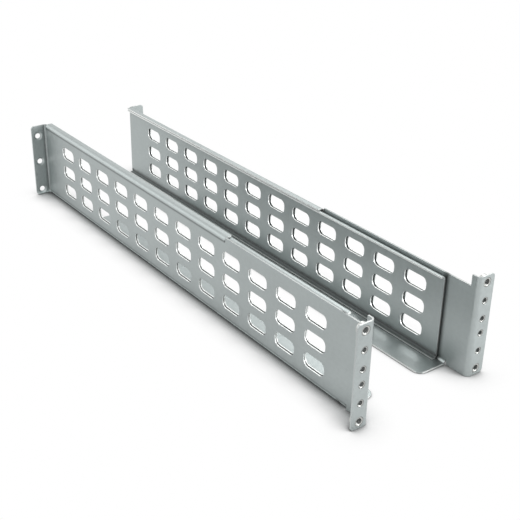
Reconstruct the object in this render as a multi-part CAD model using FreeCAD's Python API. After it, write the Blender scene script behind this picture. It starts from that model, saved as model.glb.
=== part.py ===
"""Pair of telescoping rack rails for mounting a 2U device in a 19-inch rack.

Each rail is two folded steel sheets. The front section is the outer sheet: it has the front
flange, the support ledge and the top lip. The rear section is a shallow channel that slides
inside it, between the ledge and the lip, and ends in the rear flange. Six clinch nuts are
pressed into each front flange: two large ones for the screws that hold it to the rack's post, and
four small ones between them for the ears of the mounted device.

Millimetres. X runs across the pair, Y from the front flanges to the rear ones, Z up. The
origin is the middle of the pair's footprint, on the surface that the rails stand on.

One rail is modelled in rail axes, where x is the distance inward from the rail's outer side,
y the distance behind the front flange and z the height. It is the left rail, and its mirror
image is the right one.
"""
import FreeCAD, Part
import math
import os

from FreeCAD import Vector

# Sheet metal
SHEET = 1.5                     # thickness of every folded sheet
BEND_RADIUS = 4.0               # outer radius of every fold
RELIEF_WIDTH = 1.0              # notch that frees a fold from the plain edge beside it
SLIDE_CLEARANCE = 0.4           # gap all round between the two sections of a rail

# The pair as it stands
PAIR_WIDTH = 106.6              # over the outer sides of the two rails' webs

# Front section
FRONT_LENGTH = 513.0            # front flange's face to the end of the web
WEB_HEIGHT = 78.5
LEDGE_START = 23.5
LEDGE_LENGTH = 399.0
LEDGE_DEPTH = 30.0              # from the web's outer side to the ledge's free edge
LEDGE_CORNER = 7.5
LIP_START = 180.5
LIP_DEPTH = 7.4                 # from the web's outer side to the lip's free edge
LIP_CORNER = 0.8

# Front flange
FRONT_FLANGE_HEIGHT = 88.0
FRONT_FLANGE_REACH = 15.3       # outward from the web's outer side
FLANGE_SHOULDER = 7.5           # how far back the full height runs
FLANGE_CORNER = 3.0

# Rear section
CHANNEL_START = 32.0            # its front end, with the rail closed
CHANNEL_LIP = 5.5               # from the channel's outer side to its lips' free edges
STOP_GAP = 0.4                  # between the rear flange's shoulder and the closed front section
SHOULDER_LENGTH = 0.8           # flat of the shoulder before the rear flange's fold
REAR_FLANGE_BOTTOM = 0.5
REAR_FLANGE_HEIGHT = 77.0
REAR_FLANGE_REACH = 14.5

# Slots, in rows and columns, through both webs
SLOT_LENGTH = 24.5
SLOT_HEIGHT = 12.8
SLOT_CORNER = 5.0
SLOT_COLUMNS = 12
SLOT_ROWS = 3
SLOT_PITCH = 36.5
SLOT_ROW_PITCH = 20.5
FIRST_SLOT = 61.5               # centre of the first column
SLOT_LAG = 1.0                  # the closed rear section's slots lie this far behind the front's

# Holes of a rack's universal spacing, which repeats every unit
HOLE_STEP = 15.875
UNIT_STEP = 12.7                # across the join of two units
HOLE_LINE = 7.6                 # outward from the web's outer side
LOWEST_HOLE = 5.8
SCREW_HOLE_RADIUS = 2.8
COUNTERSINK_RADIUS = 4.7
COUNTERSINK_DEPTH = 1.1

# Clinch nuts
POST_NUT_BORE_RADIUS = 2.5      # for the rack's M6 screws
POST_NUT_SHANK_RADIUS = 4.0
POST_NUT_BODY_RADIUS = 5.0
POST_NUT_HEIGHT = 4.0           # behind the flange
EAR_NUT_BORE_RADIUS = 2.1       # for the device's M5 screws
EAR_NUT_SHANK_RADIUS = 3.15
EAR_NUT_BODY_RADIUS = 4.35
EAR_NUT_HEIGHT = 2.0
NUT_SHANK_RECESS = 0.1
NUT_SEAT_CLEARANCE = 0.02       # round the shank
NUT_CHAMFER = 0.4

# What follows from those sizes
X_AXIS = Vector(1, 0, 0)
Y_AXIS = Vector(0, 1, 0)
Z_AXIS = Vector(0, 0, 1)
CHANNEL_OUTSIDE = SHEET + SLIDE_CLEARANCE
CHANNEL_INSIDE = CHANNEL_OUTSIDE + SHEET
CHANNEL_BOTTOM = SHEET + SLIDE_CLEARANCE
CHANNEL_TOP = WEB_HEIGHT - SHEET - SLIDE_CLEARANCE
LEDGE_END = LEDGE_START + LEDGE_LENGTH
SHOULDER_START = FRONT_LENGTH + STOP_GAP
CHANNEL_LIP_END = SHOULDER_START - RELIEF_WIDTH
REAR_BEND = SHOULDER_START + SHOULDER_LENGTH
CLOSED_LENGTH = REAR_BEND + BEND_RADIUS
REAR_FACE = CLOSED_LENGTH - SHEET
HOLE_HEIGHTS = [LOWEST_HOLE]
for step in (HOLE_STEP, HOLE_STEP, UNIT_STEP, HOLE_STEP, HOLE_STEP):
    HOLE_HEIGHTS.append(HOLE_HEIGHTS[-1] + step)
POST_NUT_HOLES = (HOLE_HEIGHTS[0], HOLE_HEIGHTS[-1])
EAR_NUT_HOLES = HOLE_HEIGHTS[1:-1]
REAR_SCREW_HOLES = HOLE_HEIGHTS[0::2]


def block(x_range, y_range, z_range):
    """A box from its lower and upper limits along each axis."""
    low = Vector(x_range[0], y_range[0], z_range[0])
    return Part.makeBox(x_range[1] - x_range[0], y_range[1] - y_range[0], z_range[1] - z_range[0], low)


def fold(corner, web_dir, leg_dir, run, leg):
    """A bend from its line on the web round to a flat leg, extruded along run.

    corner is where the outer faces of the web and the leg would meet without the bend, and
    leg is the leg's full width from there.
    """
    inner_radius = BEND_RADIUS - SHEET

    def at(along_web, along_leg):
        return corner + web_dir * along_web + leg_dir * along_leg

    centre = at(BEND_RADIUS, BEND_RADIUS)
    to_corner = (web_dir + leg_dir) * (-1 / math.sqrt(2))
    outer_start = at(BEND_RADIUS, 0)
    outer_end = at(0, BEND_RADIUS)
    inner_start = at(BEND_RADIUS, SHEET)
    inner_end = at(SHEET, BEND_RADIUS)
    free_outer = at(0, leg)
    free_inner = at(SHEET, leg)
    edges = [
        Part.Arc(outer_start, centre + to_corner * BEND_RADIUS, outer_end).toShape(),
        Part.makeLine(outer_end, free_outer),
        Part.makeLine(free_outer, free_inner),
        Part.makeLine(free_inner, inner_end),
        Part.Arc(inner_end, centre + to_corner * inner_radius, inner_start).toShape(),
        Part.makeLine(inner_start, outer_start),
    ]
    return Part.Face(Part.Wire(edges)).extrude(run)


def round_corners(solid, radius, direction, places):
    """Fillet the edges along direction that pass through the given places."""
    edges = []
    for edge in solid.Edges:
        if not isinstance(edge.Curve, Part.Line):
            continue
        if abs(edge.tangentAt(edge.FirstParameter).dot(direction)) < 0.999:
            continue
        if any(edge.distToShape(Part.Vertex(place))[0] < 0.01 for place in places):
            edges.append(edge)
    return solid.makeFillet(radius, edges)


def relief_notch(x_range, y_range, edge_height, bend_line):
    """A notch from a web's edge to just past the bend line, with a round end."""
    middle = (y_range[0] + y_range[1]) / 2
    radius = (y_range[1] - y_range[0]) / 2
    straight = block(x_range, y_range, (min(edge_height, bend_line), max(edge_height, bend_line)))
    end = Part.makeCylinder(radius, x_range[1] - x_range[0], Vector(x_range[0], middle, bend_line), X_AXIS)
    return straight.fuse(end)


def slot_cutters(x_range, lag):
    """The rows and columns of rounded slots through one web."""
    start = FIRST_SLOT + lag - SLOT_LENGTH / 2
    bottom = WEB_HEIGHT / 2 - SLOT_ROW_PITCH * (SLOT_ROWS - 1) / 2 - SLOT_HEIGHT / 2
    slot = block(x_range, (start, start + SLOT_LENGTH), (bottom, bottom + SLOT_HEIGHT))
    corners = [edge for edge in slot.Edges if abs(edge.tangentAt(0).dot(X_AXIS)) > 0.999]
    slot = slot.makeFillet(SLOT_CORNER, corners)
    cutters = []
    for column in range(SLOT_COLUMNS):
        for row in range(SLOT_ROWS):
            cutters.append(slot.translated(Y_AXIS * column * SLOT_PITCH + Z_AXIS * row * SLOT_ROW_PITCH))
    return cutters


def screw_hole(face_y, height):
    """A countersunk hole through a flange whose front face lies at face_y."""
    mouth = Vector(-HOLE_LINE, face_y, height)
    hole = Part.makeCylinder(SCREW_HOLE_RADIUS, SHEET, mouth, Y_AXIS)
    sink = Part.makeCone(COUNTERSINK_RADIUS, SCREW_HOLE_RADIUS, COUNTERSINK_DEPTH, mouth, Y_AXIS)
    return hole.fuse(sink)


def nut_hole(height, shank_radius):
    """The plain hole that a clinch nut's shank is pressed into."""
    radius = shank_radius + NUT_SEAT_CLEARANCE
    return Part.makeCylinder(radius, SHEET, Vector(-HOLE_LINE, 0, height), Y_AXIS)


def front_flange():
    """The front flange with its bend, as tall as a 2U panel, and the web's short shoulder."""
    flange = fold(
        Vector(SHEET, 0, 0), Y_AXIS, -X_AXIS, Z_AXIS * FRONT_FLANGE_HEIGHT, SHEET + FRONT_FLANGE_REACH)
    free_edge = [
        Vector(-FRONT_FLANGE_REACH, SHEET / 2, 0),
        Vector(-FRONT_FLANGE_REACH, SHEET / 2, FRONT_FLANGE_HEIGHT),
    ]
    flange = round_corners(flange, FLANGE_CORNER, Y_AXIS, free_edge)
    shoulder = block((0, SHEET), (BEND_RADIUS, FLANGE_SHOULDER), (0, FRONT_FLANGE_HEIGHT))
    flange = flange.fuse(shoulder)
    holes = [nut_hole(height, POST_NUT_SHANK_RADIUS) for height in POST_NUT_HOLES]
    holes += [nut_hole(height, EAR_NUT_SHANK_RADIUS) for height in EAR_NUT_HOLES]
    return flange.cut(holes)


def ledge():
    """The support ledge with its bend, folded inward from the web's lower edge.

    Behind the ledge the same fold runs on to the end of the web as a lip.
    """
    length = FRONT_LENGTH - LEDGE_START
    shape = fold(Vector(0, LEDGE_START, 0), Z_AXIS, X_AXIS, Y_AXIS * length, LEDGE_DEPTH)
    shape = shape.cut(block((LIP_DEPTH, LEDGE_DEPTH), (LEDGE_END, FRONT_LENGTH), (0, SHEET)))
    corners = [Vector(LEDGE_DEPTH, LEDGE_START, SHEET / 2), Vector(LEDGE_DEPTH, LEDGE_END, SHEET / 2)]
    shape = round_corners(shape, LEDGE_CORNER, Z_AXIS, corners)
    return round_corners(shape, LIP_CORNER, Z_AXIS, [Vector(LIP_DEPTH, FRONT_LENGTH, SHEET / 2)])


def top_lip():
    """The lip with its bend, folded inward over the rear section."""
    length = FRONT_LENGTH - LIP_START
    shape = fold(Vector(0, LIP_START, WEB_HEIGHT), -Z_AXIS, X_AXIS, Y_AXIS * length, LIP_DEPTH)
    height = WEB_HEIGHT - SHEET / 2
    corners = [Vector(LIP_DEPTH, LIP_START, height), Vector(LIP_DEPTH, FRONT_LENGTH, height)]
    return round_corners(shape, LIP_CORNER, Z_AXIS, corners)


def front_section():
    """The outer sheet of one rail."""
    thickness = (0, SHEET)
    lower_bend = BEND_RADIUS
    upper_bend = WEB_HEIGHT - BEND_RADIUS
    web = block(thickness, (BEND_RADIUS, FRONT_LENGTH), (0, WEB_HEIGHT))
    cuts = [
        block(thickness, (LEDGE_START, FRONT_LENGTH), (0, lower_bend)),
        block(thickness, (LIP_START, FRONT_LENGTH), (upper_bend, WEB_HEIGHT)),
        relief_notch(thickness, (LEDGE_START - RELIEF_WIDTH, LEDGE_START), 0, lower_bend),
        relief_notch(thickness, (LIP_START - RELIEF_WIDTH, LIP_START), WEB_HEIGHT, upper_bend),
    ]
    web = web.cut(cuts + slot_cutters(thickness, 0))
    return web.fuse([ledge(), top_lip(), front_flange()]).removeSplitter()


def channel_lip(edge_height, web_dir):
    """One of the channel's two lips with its bend."""
    length = CHANNEL_LIP_END - CHANNEL_START
    corner = Vector(CHANNEL_OUTSIDE, CHANNEL_START, edge_height)
    return fold(corner, web_dir, X_AXIS, Y_AXIS * length, CHANNEL_LIP)


def rear_flange():
    """The rear flange with its bend and the taller shoulder that meets the front section."""
    outer_corner = Vector(CHANNEL_INSIDE, CLOSED_LENGTH, REAR_FLANGE_BOTTOM)
    reach = CHANNEL_INSIDE + REAR_FLANGE_REACH
    flange = fold(outer_corner, -Y_AXIS, -X_AXIS, Z_AXIS * REAR_FLANGE_HEIGHT, reach)
    top = REAR_FLANGE_BOTTOM + REAR_FLANGE_HEIGHT
    free_edge = [
        Vector(-REAR_FLANGE_REACH, CLOSED_LENGTH - SHEET / 2, REAR_FLANGE_BOTTOM),
        Vector(-REAR_FLANGE_REACH, CLOSED_LENGTH - SHEET / 2, top),
    ]
    flange = round_corners(flange, FLANGE_CORNER, Y_AXIS, free_edge)
    thickness = (CHANNEL_OUTSIDE, CHANNEL_INSIDE)
    shoulder = block(thickness, (SHOULDER_START, REAR_BEND), (REAR_FLANGE_BOTTOM, top))
    flange = flange.fuse(shoulder)
    return flange.cut([screw_hole(REAR_FACE, height) for height in REAR_SCREW_HOLES])


def rear_section():
    """The inner sheet of one rail, a channel that slides in the front section."""
    thickness = (CHANNEL_OUTSIDE, CHANNEL_INSIDE)
    lower_bend = CHANNEL_BOTTOM + BEND_RADIUS
    upper_bend = CHANNEL_TOP - BEND_RADIUS
    web = block(thickness, (CHANNEL_START, SHOULDER_START), (lower_bend, upper_bend))
    relief = (CHANNEL_LIP_END, SHOULDER_START)
    cuts = [
        relief_notch(thickness, relief, CHANNEL_BOTTOM, lower_bend),
        relief_notch(thickness, relief, CHANNEL_TOP, upper_bend),
    ]
    web = web.cut(cuts + slot_cutters(thickness, SLOT_LAG))
    lips = [channel_lip(CHANNEL_BOTTOM, Z_AXIS), channel_lip(CHANNEL_TOP, -Z_AXIS)]
    return web.fuse(lips + [rear_flange()]).removeSplitter()


def clinch_nut(height, bore_radius, shank_radius, body_radius, body_height):
    """A self-clinching nut: a round body behind the flange and a shank pressed into it."""
    centre = Vector(-HOLE_LINE, 0, height)
    shank_start = centre + Y_AXIS * NUT_SHANK_RECESS
    body = Part.makeCylinder(body_radius, body_height, centre + Y_AXIS * SHEET, Y_AXIS)
    rim = [edge for edge in body.Edges if edge.CenterOfMass.y > SHEET + body_height * 0.9]
    body = body.makeChamfer(NUT_CHAMFER, rim)
    shank = Part.makeCylinder(shank_radius, SHEET - NUT_SHANK_RECESS, shank_start, Y_AXIS)
    bore = Part.makeCylinder(bore_radius, SHEET + body_height, centre, Y_AXIS)
    lead_in = Part.makeCone(bore_radius + NUT_CHAMFER, bore_radius, NUT_CHAMFER, shank_start, Y_AXIS)
    return body.fuse(shank).cut([bore, lead_in]).removeSplitter()


def export(name, shape):
    """Write one piece as its own STEP file."""
    if not shape.isValid() or len(shape.Solids) != 1:
        raise ValueError(name + " is not one valid solid")
    shape.exportStep("parts/" + name + ".step")
    box = shape.BoundBox
    print("%-22s volume %9.1f  x %7.2f %7.2f  y %8.2f %8.2f  z %6.2f %6.2f" % (
        name, shape.Volume, box.XMin, box.XMax, box.YMin, box.YMax, box.ZMin, box.ZMax))


def clinch_nuts():
    """The nuts of one front flange by name, each kind numbered from the bottom up."""
    nuts = {}
    for number, height in enumerate(POST_NUT_HOLES, start=1):
        nuts["post_nut_%d" % number] = clinch_nut(
            height, POST_NUT_BORE_RADIUS, POST_NUT_SHANK_RADIUS, POST_NUT_BODY_RADIUS, POST_NUT_HEIGHT)
    for number, height in enumerate(EAR_NUT_HOLES, start=1):
        nuts["clinch_nut_%d" % number] = clinch_nut(
            height, EAR_NUT_BORE_RADIUS, EAR_NUT_SHANK_RADIUS, EAR_NUT_BODY_RADIUS, EAR_NUT_HEIGHT)
    return nuts


def main():
    os.makedirs("parts", exist_ok=True)
    pieces = {"front_section": front_section(), "rear_section": rear_section()}
    pieces.update(clinch_nuts())
    for name, shape in pieces.items():
        left = shape.Solids[0]
        left.translate(Vector(-PAIR_WIDTH / 2, -CLOSED_LENGTH / 2, 0))
        export("left_" + name, left)
        export("right_" + name, left.mirror(Vector(0, 0, 0), X_AXIS))


main()
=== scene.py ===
"""Looks of a pair of telescoping rack rails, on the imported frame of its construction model.

The frame brings the folded sheets in metres: X across the pair, Y from the front flanges to the
rear ones, Z up. This script adds the camera, the floor and the lamps, gives the sheets a
zinc-plated finish with punched and sheared edges, and puts threaded clinch nuts in place of the
plain ones.
"""

import math

import bmesh
import bpy
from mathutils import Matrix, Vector


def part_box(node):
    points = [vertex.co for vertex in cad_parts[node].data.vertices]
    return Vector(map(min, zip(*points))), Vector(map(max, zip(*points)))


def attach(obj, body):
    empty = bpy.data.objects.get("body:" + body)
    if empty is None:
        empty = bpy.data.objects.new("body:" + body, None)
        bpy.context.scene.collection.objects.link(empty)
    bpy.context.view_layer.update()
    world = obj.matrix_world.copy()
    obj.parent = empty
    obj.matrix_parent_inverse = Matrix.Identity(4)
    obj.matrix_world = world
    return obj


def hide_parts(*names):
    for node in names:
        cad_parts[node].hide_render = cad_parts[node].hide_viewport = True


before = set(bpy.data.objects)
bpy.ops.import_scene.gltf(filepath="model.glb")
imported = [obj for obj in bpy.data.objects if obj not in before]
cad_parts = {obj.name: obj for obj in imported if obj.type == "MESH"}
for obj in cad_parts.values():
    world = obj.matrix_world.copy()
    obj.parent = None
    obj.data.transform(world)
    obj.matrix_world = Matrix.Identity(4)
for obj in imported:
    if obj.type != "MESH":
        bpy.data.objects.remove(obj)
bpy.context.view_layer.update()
front_low, front_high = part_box("left_front_section")
rear_low, rear_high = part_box("left_rear_section")

MM = 0.001
HAIR = 0.1 * MM                     # a mask's edge lies this far to the safe side of a face

# Camera
CAMERA_PLACE = (-0.4668, -0.6750, 0.4292)
CAMERA_TURN = (62.915, -0.998, -36.551)     # degrees about X, Y and Z
SENSOR_WIDTH = 36.0
LENS = 68.18
NEAREST_SHOWN = 0.01
FURTHEST_SHOWN = 50

# Lamps: place, the point that they face, width and watts
LAMPS = {
    "back": ((1.11, 0.87, 1.69), (0, 0, 0), 0.8, 9),
    "right": ((0.9, -1.3, 0.5), (0, 0, 0.04), 0.6, 14),
    "rear": ((-0.9, 1.3, 0.8), (0, 0, 0.04), 1.2, 4),
    "left": ((-1.6, 0.1, 0.7), (0, 0, 0.04), 1.4, 2.5),
}
WORLD_LIGHT = 0.3

# Floor
FLOOR_SIZE = 12.0
FLOOR_DROP = 0.2 * MM               # below the sheets' undersides
FLOOR_WHITE = 0.95
CONTACT_REACH = 28 * MM             # how far a shadow spreads from where something stands
CONTACT_FULL = 0.45                 # share of open sky at which the shadow is full
FOOT_REACH = 9 * MM                 # the same for the darker line right under an edge
FOOT_FULL = 0.35
FOOT_SHADE = 0.22
FLOOR_SAMPLES = 12

# Sizes of the sheets
SHEET = 1.5 * MM
BEND = 4.0 * MM                     # outer radius of the folds
SLIDE_CLEARANCE = 0.4 * MM          # between a rail's two sheets
LIP_DEPTH = 7.4 * MM                # from a web's outer face to its lips' free edges
LEDGE_START = 23.5 * MM             # behind the front flange's face
LIP_START = 180.5 * MM
WEB_TOP = 78.5 * MM

# Places across the pair, as distances from its middle
LIP_EDGES = -rear_high.x            # free edges of the lips
WEB_OUTSIDE = LIP_EDGES + LIP_DEPTH
WEB_INSIDE = WEB_OUTSIDE - 2 * SHEET - SLIDE_CLEARANCE      # inner face of the sliding channel

# Places along the pair
LEDGE_FRONT = front_low.y + LEDGE_START - 4 * HAIR      # just before the ledge
LIP_FRONT = front_low.y + LIP_START - 4 * HAIR          # just before the front section's top lip
WEB_BACK = front_high.y + 3 * HAIR                      # just behind the front section
CHANNEL_FRONT = rear_low.y
FLANGE_BACKS = rear_high.y - SHEET - 4 * HAIR           # just short of the flanges, both ways
SLOTS_ALONG = (-211 * MM, 220 * MM)                     # all the slots lie within these
SLOTS_UP = (12 * MM, 67 * MM)

# Parts of a face's normal along an axis
FACING = 0.9                        # at least, where the face looks along the axis
TURNED = 0.5                        # at most, where it looks another way

# Marks of the tools, and painted light and shade on the sheets
EDGE_ROUNDING = 0.3 * MM            # soft edges left by shearing
PUNCH_LAND = 1.0 * MM               # depth of the bright band inside a punched slot
FOLD_SHADE = 4.0 * MM                 # from a fold's outer side to a painted line of shade where the fold begins
FOLD_SHADE_WIDTH = 1.7 * MM
FOLD_SHADE_DEPTH = 0.5                # how much darker the line is
LOWER_FOLD_SHADE = 0.5                    # strength of the lower line, beside the upper one
LIT_FOLD_HEIGHT = 4.5 * MM                 # height up to which the lower fold is painted lighter
FOLD_PAINTED_LIGHT = 0.8                    # how much lighter it is painted there
UPRIGHT_EDGE_SHADE = 0.35                 # painted shade: how much darker an edge that faces up or down is, against the lamps' highlight
MOUTH_SHADE_WIDTH = 5 * MM                  # of the painted shadow on the front web round the channel's front end
MOUTH_SHADE = 0.7
CHANNEL_FOLD = 4.4 * MM             # height of the painted shade in the channel's lower fold
CHANNEL_SHADE_WIDTH = 2.6 * MM
CHANNEL_SHADE = 0.95
LEDGE_TOP = 1.8 * MM                # just above the ledge
LEDGE_UNSHADED = 34 * MM               # from the middle to where the painted shadow on the ledge begins
LEDGE_SHADE = 0.35
# Painted shade in the sheets' tight corners and in the gaps between pieces, darker where less sky is
# open
CREVICE_REACH = 6 * MM
CREVICE_OPEN = 0.95                 # share of open sky from which a sheet's own folds get no painted shade
CREVICE_SHADE = 0.7
GAP_OPEN = 0.8                      # the same for the gaps between pieces
GAP_SHADE = 0.1
CREVICE_FADE = 0.5                  # share of open sky over which the painted shade in a crevice fades out
CREVICE_SAMPLES = 8
LAND_UNSHADED = 0.75                   # how much of the painted shade a slot's bright band keeps off

# Colours of the sheets
ZINC = (0.43, 0.47, 0.467)
CUT_STEEL = (0.84, 0.86, 0.85)
PLATED_EDGE = 0.25                  # how far edges that were plated look like cut steel
# Torn metal deep in a slot's wall, darkened near black as painted shade for the dark between the two
# sheets
TORN_WALL_AND_SHADE = (0.05, 0.055, 0.055)
# Colour of the painted shade on the sheets, and of the grime in the seam round a nut's shank
SHADE_AND_GRIME = (0.03, 0.034, 0.033)
ZINC_ROUGHNESS = 0.42
CUT_ROUGHNESS = 0.10                # more on cut metal
TORN_ROUGHNESS = 0.25               # and more again where it tore
ZINC_METALLIC = 0.85
TORN_METALLIC = 0.6                 # less where it tore

# Patterns in the zinc, in steps to a metre, and how much each changes the shade or roughness
CLOUDS = 22
CLOUD_SHADE = 0.22
CLOUD_ROUGHNESS = 0.12
MOTTLE = 420
MOTTLE_SHADE = 0.08
SPANGLE = 260
SPANGLE_MIDDLE = 0.4                # mean of that pattern, where the others have 0.5
SPANGLE_SHADE = 0.08
SPANGLE_ROUGHNESS = 0.10
GRAIN = 2600
GRAIN_SHADE = 0.10
GRAIN_STRETCH = (1, 0.03, 1)        # drawn out along the rail
TEAR = 5200                         # on cut metal
TEAR_SHADE = 0.35
TEAR_STRETCH = (0.2, 1, 1)          # drawn out through the web
SHEET_BUMP = 0.08
SHEET_BUMP_HEIGHT = 0.1 * MM
BEVEL_SAMPLES = 4

# Clinch nuts
NUT_STEPS = 48                      # a turn
NUT_RECESS = 0.1 * MM               # from the flange's face to the shank's
NUT_CHAMFER = 0.4 * MM
NUT_BREAK = 0.15 * MM               # broken edges
NUT_SHARP = 35                      # degrees from which an edge looks sharp
POST_SHANK = 4.0 * MM
EAR_SHANK = 3.15 * MM
THREAD_STEPS = 20                   # a turn
THREAD_FLAT = 0.125                 # of the pitch, left flat at crest and root
THREAD_FOOT = 0.02 * MM             # how far the thread's ridge is let into the bore's wall
M5 = {"minor": 2.1 * MM, "major": 2.5 * MM, "pitch": 0.8 * MM}
M6 = {"minor": 2.5 * MM, "major": 3.0 * MM, "pitch": 1.0 * MM}
NUT_STEEL = (0.56, 0.57, 0.55)
NUT_ROUGHNESS = 0.36
NUT_METALLIC = 0.9
NUT_CLOUDS = 240
NUT_CLOUD_SHADE = 0.20
LATHE_RINGS = (9000, 9000, 1)       # to a metre of radius and of depth
RING_SHADE = 0.16
RING_ROUGHNESS = 0.12
RING_BUMP = 0.15
RING_HEIGHT = 0.05 * MM
# Colour of the painted shade down a nut's bore
PAINTED_BORE_SHADE = (0.13, 0.14, 0.14)
THREAD_REACH = 5 * MM               # depth to which a bore is painted dark
THREAD_OPEN = 0.85                  # share of open sky from which it gets no painted shade
SEAM_WIDTH = 0.8 * MM               # of the dark ring where a nut's shank meets the sheet
SEAM_GRIME = 0.7


class Link:
    """An output of a shader node that takes part in Python expressions."""

    def __init__(self, shader, socket):
        self.shader = shader
        self.socket = socket

    def __add__(self, other):
        return self.shader.maths("ADD", self, other)

    def __sub__(self, other):
        return self.shader.maths("SUBTRACT", self, other)

    def __rsub__(self, other):
        return self.shader.maths("SUBTRACT", other, self)

    def __mul__(self, other):
        return self.shader.maths("MULTIPLY", self, other)

    def __abs__(self):
        return self.shader.maths("ABSOLUTE", self)

    def __gt__(self, other):
        return self.shader.maths("GREATER_THAN", self, other)

    def __lt__(self, other):
        return self.shader.maths("LESS_THAN", self, other)

    __radd__ = __add__
    __rmul__ = __mul__


class Shader:
    """The node tree of one material or of the world."""

    def __init__(self, owner):
        owner.use_nodes = True
        self.nodes = owner.node_tree.nodes
        self.links = owner.node_tree.links
        self.nodes.clear()

    def add(self, kind, settings=None, values=None, output=0):
        """Add any node: its settings are set first, then its sockets' values or links."""
        node = self.nodes.new("ShaderNode" + kind)
        for name, value in (settings or {}).items():
            setattr(node, name, value)
        for name, value in (values or {}).items():
            if isinstance(value, Link):
                self.links.new(value.socket, node.inputs[name])
            else:
                node.inputs[name].default_value = value
        return Link(self, node.outputs[output]) if node.outputs else None

    def maths(self, operation, *values):
        return self.add("Math", {"operation": operation}, dict(enumerate(values)))

    def tint(self, mask, first, second):
        """first where mask is 0 and second where it is 1."""
        return self.add("Mix", {"data_type": "RGBA"}, {0: mask, 6: first, 7: second}, 2)

    def ease(self, value, low, high):
        """0 up to low and 1 from high on, with a soft step between them."""
        values = {"Value": value, "From Min": low, "From Max": high}
        return self.add("MapRange", {"interpolation_type": "SMOOTHSTEP"}, values)

    def band(self, value, low, high):
        """1 between low and high, 0 elsewhere."""
        return (value > low) * (value < high)

    def line(self, value, middle, width):
        """1 on a line at middle, fading to 0 at width on each side of it."""
        return 1 - self.ease(abs(value - middle), 0.0, width)

    def open_sky(self, reach, samples, own=False):
        """Share of the sky that nothing within reach hides, or nothing of the piece's own."""
        settings = {"samples": samples, "only_local": own}
        return self.add("AmbientOcclusion", settings, {"Distance": reach}, "AO")

    def crevice(self, reach, open_from, own=False):
        """0 on open surfaces, rising to 1 in tight corners and gaps, or only in the piece's own."""
        sky = self.open_sky(reach, CREVICE_SAMPLES, own)
        return 1 - self.ease(sky, open_from - CREVICE_FADE, open_from)

    def noise(self, place, scale, detail=2.0):
        values = {"Vector": place, "Scale": scale, "Detail": detail}
        return self.add("TexNoise", values=values, output="Fac")

    def stretched(self, place, scale):
        return self.add("Mapping", values={"Vector": place, "Scale": scale})

    def axes(self, vector):
        return [self.add("SeparateXYZ", values={0: vector}, output=axis) for axis in "XYZ"]

    def straight_rays(self):
        """1 for the rays that come straight from the camera."""
        return self.add("LightPath", output="Is Camera Ray")

    def mirrored_rays(self):
        """1 for the rays that show a background in metal and glass."""
        glossy, through = [self.add("LightPath", output=name) for name in (
            "Is Glossy Ray", "Is Transmission Ray")]
        return self.maths("MAXIMUM", glossy, through)

    def background_rays(self):
        """1 for the rays that show a background, straight or in metal and glass."""
        return self.maths("MAXIMUM", self.straight_rays(), self.mirrored_rays())


def grey(level):
    return (level, level, level, 1)


def place_camera():
    """A camera over the front left, looking down along the pair."""
    data = bpy.data.cameras.new("camera")
    data.sensor_width = SENSOR_WIDTH
    data.lens = LENS
    data.clip_start = NEAREST_SHOWN
    data.clip_end = FURTHEST_SHOWN
    camera = bpy.data.objects.new("camera", data)
    camera.location = CAMERA_PLACE
    camera.rotation_euler = [math.radians(angle) for angle in CAMERA_TURN]
    bpy.context.scene.collection.objects.link(camera)
    bpy.context.scene.camera = camera


def white_floor():
    """White where the floor is open, with shadows where something stands on it."""
    material = bpy.data.materials.new("white_floor")
    shader = Shader(material)
    clear = shader.ease(shader.open_sky(CONTACT_REACH, FLOOR_SAMPLES), CONTACT_FULL, 1.0)
    foot = 1 - shader.ease(shader.open_sky(FOOT_REACH, FLOOR_SAMPLES), FOOT_FULL, 1.0)
    straight = shader.straight_rays()
    shade = shader.tint(foot * straight, grey(FLOOR_WHITE), grey(FOOT_SHADE))
    lit = shader.add("BsdfDiffuse", values={"Color": shade})
    plain = shader.add("Emission", values={"Color": grey(1.0), "Strength": 1.0})
    share = (straight + shader.mirrored_rays()) * clear
    shown = shader.add("MixShader", values={0: share, 1: lit, 2: plain})
    shader.add("OutputMaterial", values={"Surface": shown})
    return material


def make_floor():
    """A flat floor just under the sheets."""
    bm = bmesh.new()
    bmesh.ops.create_grid(bm, x_segments=1, y_segments=1, size=FLOOR_SIZE / 2)
    bmesh.ops.translate(bm, verts=bm.verts, vec=(0, 0, -FLOOR_DROP))
    floor = mesh_object("floor", bm)
    floor.data.materials.append(white_floor())


def light_world():
    """Even white light, and a plain white background."""
    world = bpy.data.worlds.new("studio")
    bpy.context.scene.world = world
    shader = Shader(world)
    soft = shader.add("Background", values={"Color": grey(1.0), "Strength": WORLD_LIGHT})
    plain = shader.add("Background", values={"Color": grey(1.0), "Strength": 1.0})
    shown = shader.add("MixShader", values={0: shader.background_rays(), 1: soft, 2: plain})
    shader.add("OutputWorld", values={"Surface": shown})


def soft_box(name, place, aim, size, power):
    """A square lamp at place that faces aim."""
    data = bpy.data.lights.new(name, "AREA")
    data.shape = "SQUARE"
    data.size = size
    data.energy = power
    lamp = bpy.data.objects.new(name, data)
    lamp.location = place
    lamp.rotation_euler = (Vector(aim) - Vector(place)).to_track_quat("-Z", "Y").to_euler()
    bpy.context.scene.collection.objects.link(lamp)


def mesh_object(name, bm):
    """Turn a bmesh into an object in the scene."""
    mesh = bpy.data.meshes.new(name)
    bm.to_mesh(mesh)
    bm.free()
    piece = bpy.data.objects.new(name, mesh)
    bpy.context.scene.collection.objects.link(piece)
    return piece


def closed_ring(bm, middle, profile):
    """A closed outline through points given as radius and depth, beside a nut's axis."""
    ring = [bm.verts.new(middle + Vector((radius, depth, 0))) for radius, depth in profile]
    edges = [bm.edges.new(pair) for pair in zip(ring, ring[1:] + ring[:1])]
    return ring + edges


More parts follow.
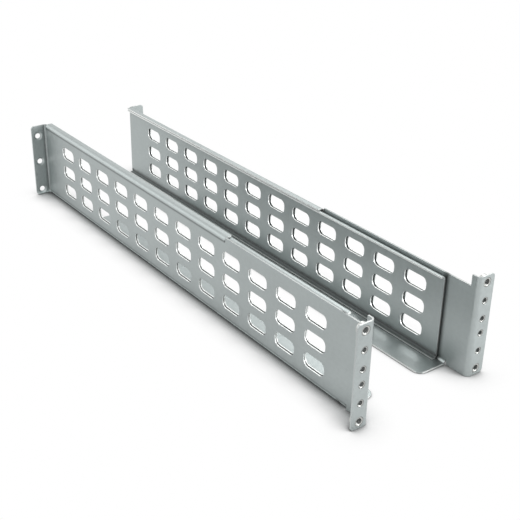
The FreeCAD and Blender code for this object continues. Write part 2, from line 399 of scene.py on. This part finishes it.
def nut_profile(bore, shank, body, back):
    """A clinch nut's section as radius and depth, from the bore's front rim outward."""
    seat = SHEET - NUT_RECESS
    return [
        (bore + NUT_BREAK, 0), (shank - NUT_BREAK, 0), (shank, NUT_BREAK), (shank, seat),
        (body - NUT_BREAK, seat), (body, seat + NUT_BREAK), (body, back - NUT_CHAMFER),
        (body - NUT_CHAMFER, back), (bore + NUT_BREAK, back), (bore, back - NUT_BREAK),
        (bore, NUT_BREAK)]


def thread_ridge(middle, thread, start, end):
    """The ridge of a thread: a trapezoid wound round the bore, cut square at both ends."""
    crest = THREAD_FLAT * thread["pitch"] / 2
    root = thread["pitch"] / 2 - crest
    foot = thread["major"] + THREAD_FOOT
    first = start - thread["pitch"]
    turns = math.ceil((end - first) / thread["pitch"]) + 1
    corners = [(foot, first - root), (thread["minor"], first - crest),
               (thread["minor"], first + crest), (foot, first + root)]
    bm = bmesh.new()
    section = closed_ring(bm, middle, corners)
    bmesh.ops.spin(bm, geom=section, cent=middle, axis=(0, 1, 0), angle=math.tau * turns,
                   dvec=(0, thread["pitch"] / THREAD_STEPS, 0), steps=THREAD_STEPS * turns)
    for depth, side in ((start, -1), (end, 1)):
        bmesh.ops.bisect_plane(bm, geom=bm.verts[:] + bm.edges[:] + bm.faces[:],
                               plane_co=middle + Vector((0, depth, 0)), plane_no=(0, side, 0),
                               clear_outer=True)
        bmesh.ops.holes_fill(bm, edges=[edge for edge in bm.edges if edge.is_boundary])
    mesh = bpy.data.meshes.new("thread")
    bm.to_mesh(mesh)
    bm.free()
    return mesh


def note_turning(bm, middle, shank):
    """Give each point its radius, its depth and how far inside the shank's side it lies."""
    turning = bm.verts.layers.float_vector.new("turning")
    for vert in bm.verts:
        out = vert.co - middle
        radius = math.hypot(out.x, out.z)
        vert[turning] = (radius, out.y, shank - radius)


def threaded_nut(node, shank, thread):
    """A turned clinch nut with its thread, in place of the plain one."""
    low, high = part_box(node)
    middle = Vector(((low.x + high.x) / 2, low.y, (low.z + high.z) / 2))
    body = (high.x - low.x) / 2
    back = high.y - low.y
    bm = bmesh.new()
    section = closed_ring(bm, middle, nut_profile(thread["major"], shank, body, back))
    bmesh.ops.spin(bm, geom=section, cent=middle, axis=(0, 1, 0), angle=math.tau,
                   steps=NUT_STEPS, use_merge=True)
    ridge = thread_ridge(middle, thread, NUT_BREAK, back - NUT_BREAK)
    bm.from_mesh(ridge)
    bpy.data.meshes.remove(ridge)
    bmesh.ops.recalc_face_normals(bm, faces=bm.faces)
    note_turning(bm, middle, shank)
    nut = mesh_object(node + "_threaded", bm)
    nut.data.set_sharp_from_angle(angle=math.radians(NUT_SHARP))
    for face in nut.data.polygons:
        face.use_smooth = True
    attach(nut, "fixed_rails")
    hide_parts(node)
    return nut


class SheetPoint:
    """Where a point of a rail's sheet lies, which way it faces there, and what marks and painted
    light and shade it bears.
    """

    def __init__(self, shader):
        self.shader = shader
        self.place = shader.add("TexCoord", output="Object")
        x, self.y, self.z = shader.axes(self.place)
        self.across = abs(x)
        normal = shader.axes(shader.add("TexCoord", output="Normal"))
        self.normal = dict(zip("xyz", [abs(part) for part in normal]))

    def faces(self, axis):
        return self.normal[axis] > FACING

    def turned_from(self, axis):
        return self.normal[axis] < TURNED

    def slot_walls(self):
        """The walls of the punched slots, and the part of them where the metal tore."""
        in_web = self.shader.band(self.across, WEB_INSIDE - HAIR, WEB_OUTSIDE + HAIR)
        slots = self.shader.band(self.y, *SLOTS_ALONG) * self.shader.band(self.z, *SLOTS_UP)
        wall = in_web * slots * self.turned_from("x")
        deep = self.shader.band(self.across, WEB_INSIDE + PUNCH_LAND, WEB_OUTSIDE - PUNCH_LAND)
        return wall, wall * deep

    def upright_edges(self):
        """Edges that face up or down where no fold runs, counted twice on the front flange's top."""
        unfolded = ((self.y < LEDGE_FRONT) + (self.y > WEB_BACK)
                    + (self.z > WEB_TOP - HAIR) * (self.y < LIP_FRONT))
        return self.faces("z") * unfolded

    def sheared_edges(self):
        """How far the sheet's edges look like cut steel."""
        free_edges = self.faces("x") * (self.across < WEB_INSIDE - HAIR)
        ends = self.faces("y") * (abs(self.y) < FLANGE_BACKS)
        flange_rims = self.turned_from("y") * (self.across > WEB_OUTSIDE + BEND - SHEET)
        edges = free_edges + ends + (flange_rims + self.upright_edges()) * PLATED_EDGE
        return self.shader.maths("MINIMUM", edges, 1.0)

    def painted_fold_shade(self):
        """Painted shade: darker lines on the webs' outer faces where the folds begin."""
        outer_face = self.faces("x") * (self.across > WEB_OUTSIDE - HAIR)
        lower = self.shader.line(self.z, FOLD_SHADE, FOLD_SHADE_WIDTH) * (self.y > LEDGE_FRONT)
        upper = self.shader.line(self.z, WEB_TOP - FOLD_SHADE, FOLD_SHADE_WIDTH) * (self.y > LIP_FRONT)
        return outer_face * (lower * LOWER_FOLD_SHADE + upper) * (abs(self.y) < FLANGE_BACKS)

    def painted_light_on_fold(self):
        """Painted light on the lower fold, which carries the rail."""
        along_ledge = (self.across > WEB_INSIDE + HAIR) * (self.y > LEDGE_FRONT)
        return along_ledge * (1 - self.shader.ease(self.z, MM, LIT_FOLD_HEIGHT))

    def painted_channel_shade(self):
        """Painted shade: a shadow on the web round the channel's front end, shade in the channel's
        lower fold, and a shadow beside it on the ledge.
        """
        between = self.shader.band(self.across, WEB_INSIDE + HAIR, WEB_OUTSIDE - HAIR)
        mouth = between * self.shader.line(self.y, CHANNEL_FRONT, MOUTH_SHADE_WIDTH)
        in_channel = self.shader.band(self.across, LIP_EDGES - MM, WEB_INSIDE + HAIR)
        fold = in_channel * self.shader.line(self.z, CHANNEL_FOLD, CHANNEL_SHADE_WIDTH)
        on_ledge = (self.z < LEDGE_TOP) * self.faces("z")
        ledge = on_ledge * self.shader.ease(self.across, LEDGE_UNSHADED, LIP_EDGES)
        return mouth * MOUTH_SHADE + fold * CHANNEL_SHADE + ledge * LEDGE_SHADE

    def painted_corner_shade(self):
        """Painted shade in the sheet's own tight corners, and faintly in those that it forms with
        other pieces.
        """
        own = self.shader.crevice(CREVICE_REACH, CREVICE_OPEN, own=True)
        shared = self.shader.crevice(CREVICE_REACH, GAP_OPEN)
        return own * CREVICE_SHADE + shared * GAP_SHADE


def plated_color(shader, color, shade):
    """A metal's colour with its shade from place to place."""
    return shader.add("Mix", {"data_type": "RGBA", "blend_type": "MULTIPLY"},
                      {0: 1.0, 6: color + (1,), 7: shade}, 2)


def zinc_sheet():
    """Satin zinc on rolled sheet, bare where the sheet was sheared or punched.

    Grain runs along the sheet, with faint clouds and spangle. A slot's wall is bright on the
    outside of the two sheets, and dark between them, where the metal tore, with painted shade
    for the dark there.
    """
    material = bpy.data.materials.new("zinc_sheet")
    shader = Shader(material)
    point = SheetPoint(shader)
    wall, torn_and_shaded = point.slot_walls()
    cut = shader.maths("MAXIMUM", point.sheared_edges(), wall)
    # Painted shade in the corners, the gaps and round the channel
    painted_shade = shader.maths("MAXIMUM", point.painted_corner_shade(), point.painted_channel_shade())

    cloud = shader.noise(point.place, CLOUDS, 3) - 0.5
    mottle = shader.noise(point.place, MOTTLE) - 0.5
    spangle = shader.add("TexVoronoi", values={"Vector": point.place, "Scale": SPANGLE},
                         output="Distance") - SPANGLE_MIDDLE
    grain = shader.noise(shader.stretched(point.place, GRAIN_STRETCH), GRAIN, 3)
    tear = shader.noise(shader.stretched(point.place, TEAR_STRETCH), TEAR, 3)

    shade = (cloud * CLOUD_SHADE + (grain - 0.5) * GRAIN_SHADE + spangle * SPANGLE_SHADE
             + mottle * MOTTLE_SHADE + 1.0)
    # Painted shade along the folds' starts and on edges that face up or down, and painted light on
    # the lower fold
    shade = (shade * (1 - point.painted_fold_shade() * FOLD_SHADE_DEPTH)
             * (1 - point.upright_edges() * UPRIGHT_EDGE_SHADE) * (point.painted_light_on_fold() * FOLD_PAINTED_LIGHT + 1))
    cut_shade = (tear - 0.5) * TEAR_SHADE + 1.0
    color = shader.tint(cut, plated_color(shader, ZINC, shade),
                        plated_color(shader, CUT_STEEL, cut_shade))
    # The torn part of a slot's wall, in a colour that also paints the shade between the sheets
    color = shader.tint(torn_and_shaded, color, plated_color(shader, TORN_WALL_AND_SHADE, cut_shade))
    land = wall * (1 - torn_and_shaded)
    # The painted shade darkens the colour, kept partly off the slots' bright bands
    color = shader.tint(painted_shade * (1 - land * LAND_UNSHADED), color, SHADE_AND_GRIME + (1,))

    roughness = (cloud * CLOUD_ROUGHNESS + spangle * SPANGLE_ROUGHNESS + ZINC_ROUGHNESS
                 + cut * CUT_ROUGHNESS + torn_and_shaded * TORN_ROUGHNESS)
    soft = shader.add("Bevel", {"samples": BEVEL_SAMPLES}, {"Radius": EDGE_ROUNDING})
    bump = shader.add("Bump", values={
        "Height": grain * (1 - cut) + tear * cut, "Strength": SHEET_BUMP,
        "Distance": SHEET_BUMP_HEIGHT, "Normal": soft})
    surface = shader.add("BsdfPrincipled", values={
        "Base Color": color, "Metallic": ZINC_METALLIC - torn_and_shaded * TORN_METALLIC,
        "Roughness": roughness, "Normal": bump})
    shader.add("OutputMaterial", values={"Surface": surface})
    return material


def turned_steel():
    """Bright plated steel with fine rings from the lathe, and painted shade down its bore."""
    material = bpy.data.materials.new("turned_steel")
    shader = Shader(material)
    place = shader.add("TexCoord", output="Object")
    turning = shader.add("Attribute", {"attribute_name": "turning"}, output="Vector")
    depth, inside = shader.axes(turning)[1:]
    seam = (depth < SHEET) * shader.line(inside, 0.0, SEAM_WIDTH)
    rings = shader.noise(shader.stretched(turning, LATHE_RINGS), 1)
    cloud = shader.noise(place, NUT_CLOUDS)
    shade = (cloud - 0.5) * NUT_CLOUD_SHADE + (rings - 0.5) * RING_SHADE + 1.0
    color = plated_color(shader, NUT_STEEL, shade)
    # Painted shade down the bore, where little sky is open
    color = shader.tint(shader.crevice(THREAD_REACH, THREAD_OPEN), color, PAINTED_BORE_SHADE + (1,))
    color = shader.tint(seam * SEAM_GRIME, color, SHADE_AND_GRIME + (1,))
    roughness = (rings - 0.5) * RING_ROUGHNESS + NUT_ROUGHNESS
    bump = shader.add("Bump", values={
        "Height": rings, "Strength": RING_BUMP, "Distance": RING_HEIGHT})
    surface = shader.add("BsdfPrincipled", values={
        "Base Color": color, "Metallic": NUT_METALLIC, "Roughness": roughness, "Normal": bump})
    shader.add("OutputMaterial", values={"Surface": surface})
    return material


bpy.context.scene.view_settings.view_transform = "Standard"
place_camera()
make_floor()
light_world()
for name, (place, aim, size, power) in LAMPS.items():
    soft_box(name, place, aim, size, power)

sheet_finish = zinc_sheet()
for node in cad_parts.values():
    node.data.materials.clear()
    node.data.materials.append(sheet_finish)

nut_finish = turned_steel()
for side in ("left", "right"):
    nuts = [threaded_nut("%s_post_nut_%d" % (side, number), POST_SHANK, M6) for number in (1, 2)]
    nuts += [threaded_nut("%s_clinch_nut_%d" % (side, number), EAR_SHANK, M5)
             for number in (1, 2, 3, 4)]
    for nut in nuts:
        nut.data.materials.append(nut_finish)
